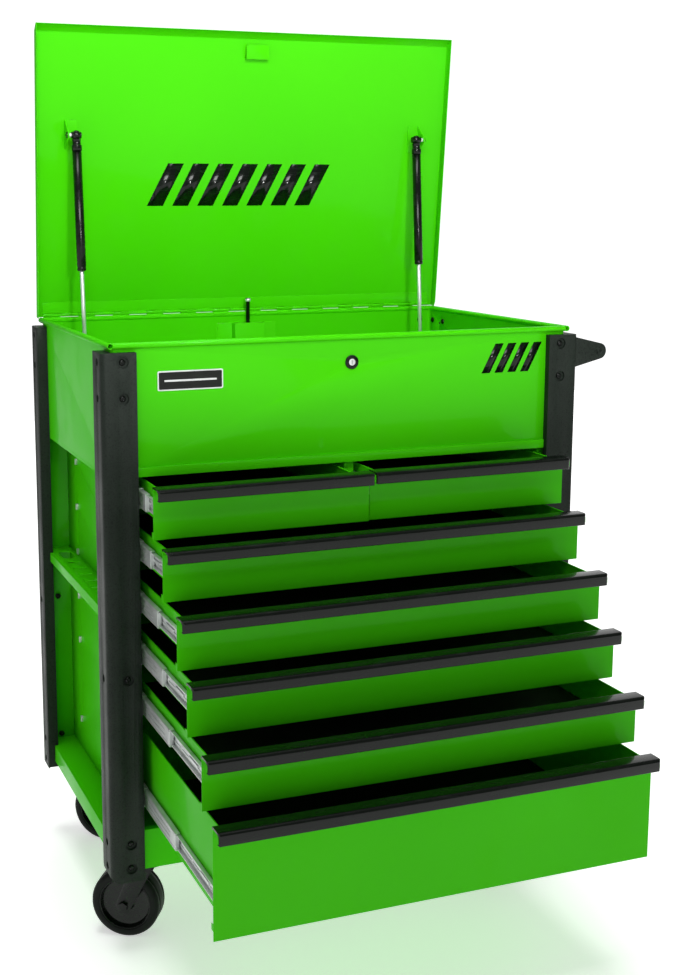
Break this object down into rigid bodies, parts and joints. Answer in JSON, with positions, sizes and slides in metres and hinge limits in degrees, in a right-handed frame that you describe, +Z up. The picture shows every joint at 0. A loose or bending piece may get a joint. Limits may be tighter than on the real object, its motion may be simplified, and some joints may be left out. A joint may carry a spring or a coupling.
{
  "type": "rolling tool chest",
  "caption": "Lidded rolling tool chest: top till with gas-strut lid, drawers on full-extension slides, open side bays, corner posts, push handle and swivel casters.",
  "frame": {"origin": "on the floor, under the middle of the bounding box of the rest pose", "axes": "+X to the right of someone facing the front, +Y from the front towards the back, +Z up from the floor"},
  "size_m": [0.995, 0.9636, 1.6599],
  "materials": {
    "green_paint": "gloss lime-green powder coat",
    "black_coat": "fine wrinkle black powder coat",
    "black_steel": "satin black",
    "zinc": "bright zinc plate",
    "pull_black": "satin black",
    "tyre": "semi-matt black"
  },
  "bodies": {
    "cabinet": {"base_tray": "green_paint", "caster_channels": "black_steel", "front_rail": "green_paint", "bay_wall_left": "green_paint", "bay_wall_right": "green_paint", "back_panel": "green_paint", "till_shell": "green_paint", "till_floor": "green_paint", "drawer_divider": "green_paint", "post_front_left": "black_coat", "post_front_right": "black_coat", "post_rear_left": "black_coat", "post_rear_right": "black_coat", "case_fasteners": "black_steel", "shelf_left": "green_paint", "shelf_right": "green_paint", "handle_brackets": "black_coat", "handle_bar": "black_coat", "slide_channels": "zinc", "latch_cover": "green_paint", "hinge_case_leaf": "green_paint", "lock_body": "black_steel"},
    "lid": {"lid_panel": "green_paint", "hinge_lid_leaf": "green_paint", "lid_hardware": "green_paint"},
    "strut_rod_left": {"strut_rod_left": "zinc"},
    "strut_tube_left": {"strut_tube_left": "black_steel"},
    "strut_rod_right": {"strut_rod_right": "zinc"},
    "strut_tube_right": {"strut_tube_right": "black_steel"},
    "lock": {"lock_barrel": "zinc"},
    "latch": {"latch_rod": "black_steel"},
    "drawer_1": {"drawer_1": "green_paint", "pull_1": "pull_black"},
    "slide_1": {"slide_1": "zinc"},
    "drawer_2": {"drawer_2": "green_paint", "pull_2": "pull_black"},
    "slide_2": {"slide_2": "zinc"},
    "drawer_3": {"drawer_3": "green_paint", "pull_3": "pull_black"},
    "slide_3": {"slide_3": "zinc"},
    "drawer_4": {"drawer_4": "green_paint", "pull_4": "pull_black"},
    "slide_4": {"slide_4": "zinc"},
    "drawer_5": {"drawer_5": "green_paint", "pull_5": "pull_black"},
    "slide_5": {"slide_5": "zinc"},
    "drawer_6": {"drawer_6": "green_paint", "pull_6": "pull_black"},
    "slide_6": {"slide_6": "zinc"},
    "drawer_7": {"drawer_7": "green_paint", "pull_7": "pull_black"},
    "slide_7": {"slide_7": "zinc"},
    "fork_front_left": {"fork_front_left": "black_steel"},
    "wheel_front_left": {"wheel_front_left": "tyre"},
    "fork_front_right": {"fork_front_right": "black_steel"},
    "wheel_front_right": {"wheel_front_right": "tyre"},
    "fork_rear_left": {"fork_rear_left": "black_steel"},
    "wheel_rear_left": {"wheel_rear_left": "tyre"},
    "fork_rear_right": {"fork_rear_right": "black_steel"},
    "wheel_rear_right": {"wheel_rear_right": "tyre"}
  },
  "joints": [
    {"name": "lid_hinge", "type": "hinge", "parent": "cabinet", "child": "lid", "pos_m": [-0.02747, 0.47625, 1.094], "axis": [1, 0, 0], "range_deg": [0, 84.5], "stiffness_Nm_per_rad": 4, "springref_deg": -85.94},
    {"name": "strut_pivot_left", "type": "hinge", "parent": "cabinet", "child": "strut_rod_left", "pos_m": [-0.39847, 0.37525, 0.935], "axis": [1, 0, 0], "range_deg": [-0.5, 67.76]},
    {"name": "strut_slide_left", "type": "slide", "parent": "strut_rod_left", "child": "strut_tube_left", "axis": [0, 0.0805, 0.9968], "range_m": [-0.22551, 0.0005]},
    {"name": "strut_pivot_right", "type": "hinge", "parent": "cabinet", "child": "strut_rod_right", "pos_m": [0.34353, 0.37525, 0.935], "axis": [1, 0, 0], "range_deg": [-0.5, 67.76]},
    {"name": "strut_slide_right", "type": "slide", "parent": "strut_rod_right", "child": "strut_tube_right", "axis": [0, 0.0805, 0.9968], "range_m": [-0.22551, 0.0005]},
    {"name": "latch_slide", "type": "slide", "parent": "cabinet", "child": "latch", "axis": [0, 0, 1], "range_m": [-0.0242, 0]},
    {"name": "lock_turn", "type": "hinge", "parent": "cabinet", "child": "lock", "pos_m": [-0.02747, -0.07775, 1.0405], "axis": [0, 1, 0], "range_deg": [0, 90]},
    {"name": "drawer_1_slide", "type": "slide", "parent": "cabinet", "child": "drawer_1", "axis": [0, -1, 0], "range_m": [-0.08, 0.395]},
    {"name": "slide_1_travel", "type": "slide", "parent": "cabinet", "child": "slide_1", "axis": [0, -1, 0], "range_m": [-0.04, 0.1975]},
    {"name": "drawer_2_slide", "type": "slide", "parent": "cabinet", "child": "drawer_2", "axis": [0, -1, 0], "range_m": [-0.073, 0.402]},
    {"name": "slide_2_travel", "type": "slide", "parent": "cabinet", "child": "slide_2", "axis": [0, -1, 0], "range_m": [-0.0365, 0.201]},
    {"name": "drawer_3_slide", "type": "slide", "parent": "cabinet", "child": "drawer_3", "axis": [0, -1, 0], "range_m": [-0.13, 0.345]},
    {"name": "slide_3_travel", "type": "slide", "parent": "cabinet", "child": "slide_3", "axis": [0, -1, 0], "range_m": [-0.065, 0.1725]},
    {"name": "drawer_4_slide", "type": "slide", "parent": "cabinet", "child": "drawer_4", "axis": [0, -1, 0], "range_m": [-0.204, 0.271]},
    {"name": "slide_4_travel", "type": "slide", "parent": "cabinet", "child": "slide_4", "axis": [0, -1, 0], "range_m": [-0.102, 0.1355]},
    {"name": "drawer_5_slide", "type": "slide", "parent": "cabinet", "child": "drawer_5", "axis": [0, -1, 0], "range_m": [-0.253, 0.222]},
    {"name": "slide_5_travel", "type": "slide", "parent": "cabinet", "child": "slide_5", "axis": [0, -1, 0], "range_m": [-0.1265, 0.111]},
    {"name": "drawer_6_slide", "type": "slide", "parent": "cabinet", "child": "drawer_6", "axis": [0, -1, 0], "range_m": [-0.324, 0.151]},
    {"name": "slide_6_travel", "type": "slide", "parent": "cabinet", "child": "slide_6", "axis": [0, -1, 0], "range_m": [-0.162, 0.0755]},
    {"name": "drawer_7_slide", "type": "slide", "parent": "cabinet", "child": "drawer_7", "axis": [0, -1, 0], "range_m": [-0.374, 0.101]},
    {"name": "slide_7_travel", "type": "slide", "parent": "cabinet", "child": "slide_7", "axis": [0, -1, 0], "range_m": [-0.187, 0.0505]},
    {"name": "swivel_front_left", "type": "hinge", "parent": "cabinet", "child": "fork_front_left", "pos_m": [-0.40147, -0.02675, 0.155], "axis": [0, 0, 1], "continuous": true},
    {"name": "roll_front_left", "type": "hinge", "parent": "fork_front_left", "child": "wheel_front_left", "pos_m": [-0.43334, -0.00605, 0.0635], "axis": [0.5446, 0.8387, 0], "continuous": true},
    {"name": "swivel_front_right", "type": "hinge", "parent": "cabinet", "child": "fork_front_right", "pos_m": [0.34653, -0.02675, 0.155], "axis": [0, 0, 1], "continuous": true},
    {"name": "roll_front_right", "type": "hinge", "parent": "fork_front_right", "child": "wheel_front_right", "pos_m": [0.33353, 0.00896, 0.0635], "axis": [0.9397, 0.342, 0], "continuous": true},
    {"name": "swivel_rear_left", "type": "hinge", "parent": "cabinet", "child": "fork_rear_left", "pos_m": [-0.40147, 0.41725, 0.155], "axis": [0, 0, 1], "continuous": true},
    {"name": "roll_rear_left", "type": "hinge", "parent": "fork_rear_left", "child": "wheel_rear_left", "pos_m": [-0.3746, 0.39038, 0.0635], "axis": [-0.7071, -0.7071, 0], "continuous": true},
    {"name": "swivel_rear_right", "type": "hinge", "parent": "cabinet", "child": "fork_rear_right", "pos_m": [0.34653, 0.41725, 0.155], "axis": [0, 0, 1], "continuous": true},
    {"name": "roll_rear_right", "type": "hinge", "parent": "fork_rear_right", "child": "wheel_rear_right", "pos_m": [0.35953, 0.38154, 0.0635], "axis": [-0.9397, -0.342, 0], "continuous": true}
  ],
  "couplings": [
    {"joint": "strut_pivot_left", "follows": "lid_hinge", "ratio": 0.79602},
    {"joint": "strut_slide_left", "follows": "lid_hinge", "m_per_rad": -0.15257},
    {"joint": "strut_pivot_right", "follows": "lid_hinge", "ratio": 0.79602},
    {"joint": "strut_slide_right", "follows": "lid_hinge", "m_per_rad": -0.15257},
    {"joint": "latch_slide", "follows": "lid_hinge", "m_per_rad": -0.016273},
    {"joint": "slide_1_travel", "follows": "drawer_1_slide", "ratio": 0.5},
    {"joint": "slide_2_travel", "follows": "drawer_2_slide", "ratio": 0.5},
    {"joint": "slide_3_travel", "follows": "drawer_3_slide", "ratio": 0.5},
    {"joint": "slide_4_travel", "follows": "drawer_4_slide", "ratio": 0.5},
    {"joint": "slide_5_travel", "follows": "drawer_5_slide", "ratio": 0.5},
    {"joint": "slide_6_travel", "follows": "drawer_6_slide", "ratio": 0.5},
    {"joint": "slide_7_travel", "follows": "drawer_7_slide", "ratio": 0.5}
  ]
}
